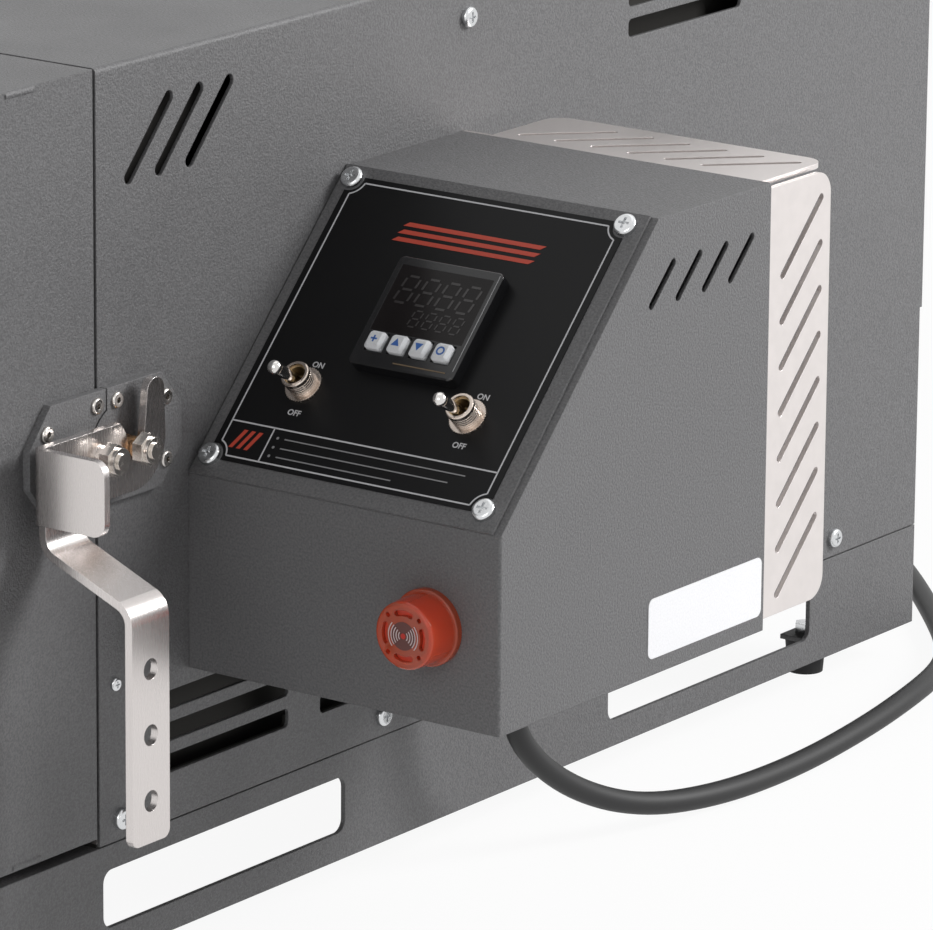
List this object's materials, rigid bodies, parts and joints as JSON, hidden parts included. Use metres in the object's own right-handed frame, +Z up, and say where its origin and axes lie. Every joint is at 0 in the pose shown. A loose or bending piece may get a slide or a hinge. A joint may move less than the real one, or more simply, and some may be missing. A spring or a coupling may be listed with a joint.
{
  "type": "heat treat oven",
  "caption": "Bench heat treat oven: brick lined steel cabinet on a low stand, side hinged door with hook latch, and a control box with slanted panel on its side.",
  "frame": {"origin": "bottom centre of the oven without its cord, on the floor", "axes": "+Z up, +Y from the door to the rear, +X to the side with the control box"},
  "size_m": [0.5424, 0.793, 0.3555],
  "materials": {
    "grey_paint": "fine textured powder coat",
    "black_paint": "satin",
    "stainless": "brushed",
    "zinc": "bright zinc plate",
    "nickel": "bright nickel",
    "brass": "turned",
    "liner": "mill",
    "firebrick": "rough porous brick",
    "element": "oxidised wire",
    "ceramic": "glazed",
    "rubber": "matt",
    "black_plastic": "satin",
    "dark_plastic": "matt",
    "display": "dark window",
    "white_plastic": "satin",
    "red_lens": "translucent",
    "label_white": "paper",
    "relay_white": "moulded"
  },
  "bodies": {
    "cabinet": {"outer_wrapper": "grey_paint", "base_pan": "grey_paint", "rear_panel": "grey_paint", "front_fascia": "stainless", "inner_liner": "liner", "liner_rails": "liner", "brick_slabs": "firebrick", "brick_sides": "firebrick", "brick_rear": "firebrick", "heating_elements": "element", "element_terminals": "ceramic", "thermocouple": "stainless", "cabinet_screws": "zinc", "stand_side_rails": "grey_paint", "stand_front_rail": "grey_paint", "stand_rear_rail": "grey_paint", "feet": "rubber", "foot_screws": "zinc", "hinge_leaves": "stainless", "hinge_pins": "zinc", "strike_plate": "grey_paint", "strike_rivets": "stainless", "roller_bolt": "zinc", "roller_nut": "zinc", "control_box": "grey_paint", "control_lid": "grey_paint", "panel_overlay": "black_paint", "lid_screws": "zinc", "controller": "black_plastic", "display_window": "display", "lamp_lens": "red_lens", "lamp_body": "dark_plastic", "rear_shield": "stainless", "label_plate": "label_white", "relay": "relay_white", "terminal_block": "relay_white", "toggle_bodies": "nickel", "toggle_nuts": "nickel", "cord_gland": "dark_plastic", "power_cord": "rubber", "cord_coil": "rubber", "cord_plug": "dark_plastic"},
    "door": {"door_shell": "grey_paint", "door_frame": "stainless", "door_brick": "firebrick", "door_hinge_leaves": "stainless", "door_hinge_screws": "zinc", "latch_plate": "grey_paint", "latch_rivets": "stainless", "pivot_bolt": "zinc", "pivot_nut": "zinc", "pivot_sleeve": "zinc"},
    "latch": {"latch_lever": "stainless"},
    "roller": {"latch_roller": "brass"},
    "power_switch": {"power_toggle": "nickel"},
    "heat_switch": {"heat_toggle": "nickel"},
    "key1": {"key_1": "white_plastic"},
    "key2": {"key_2": "white_plastic"},
    "key3": {"key_3": "white_plastic"},
    "key4": {"key_4": "white_plastic"}
  },
  "joints": [
    {"name": "door_swing", "type": "hinge", "parent": "cabinet", "child": "door", "pos_m": [-0.2647, -0.2433, 0.2145], "axis": [0, 0, -1], "range_deg": [0, 150]},
    {"name": "latch_turn", "type": "hinge", "parent": "door", "child": "latch", "pos_m": [0.1375, -0.2541, 0.2145], "axis": [-1, 0, 0], "range_deg": [0, 85]},
    {"name": "roller_spin", "type": "hinge", "parent": "cabinet", "child": "roller", "pos_m": [0.1361, -0.2348, 0.2145], "axis": [1, 0, 0], "continuous": true},
    {"name": "power_toggle_tilt", "type": "hinge", "parent": "cabinet", "child": "power_switch", "pos_m": [0.1588, -0.16115, 0.2269], "axis": [-1, 0, 0], "range_deg": [0, 30]},
    {"name": "heat_toggle_tilt", "type": "hinge", "parent": "cabinet", "child": "heat_switch", "pos_m": [0.2346, -0.16115, 0.2269], "axis": [-1, 0, 0], "range_deg": [0, 30]},
    {"name": "key_1_press", "type": "slide", "parent": "cabinet", "child": "key1", "axis": [0, 0.716, -0.6981], "range_m": [0, 0.0008], "stiffness_N_per_m": 200},
    {"name": "key_2_press", "type": "slide", "parent": "cabinet", "child": "key2", "axis": [0, 0.716, -0.6981], "range_m": [0, 0.0008], "stiffness_N_per_m": 200},
    {"name": "key_3_press", "type": "slide", "parent": "cabinet", "child": "key3", "axis": [0, 0.716, -0.6981], "range_m": [0, 0.0008], "stiffness_N_per_m": 200},
    {"name": "key_4_press", "type": "slide", "parent": "cabinet", "child": "key4", "axis": [0, 0.716, -0.6981], "range_m": [0, 0.0008], "stiffness_N_per_m": 200}
  ]
}
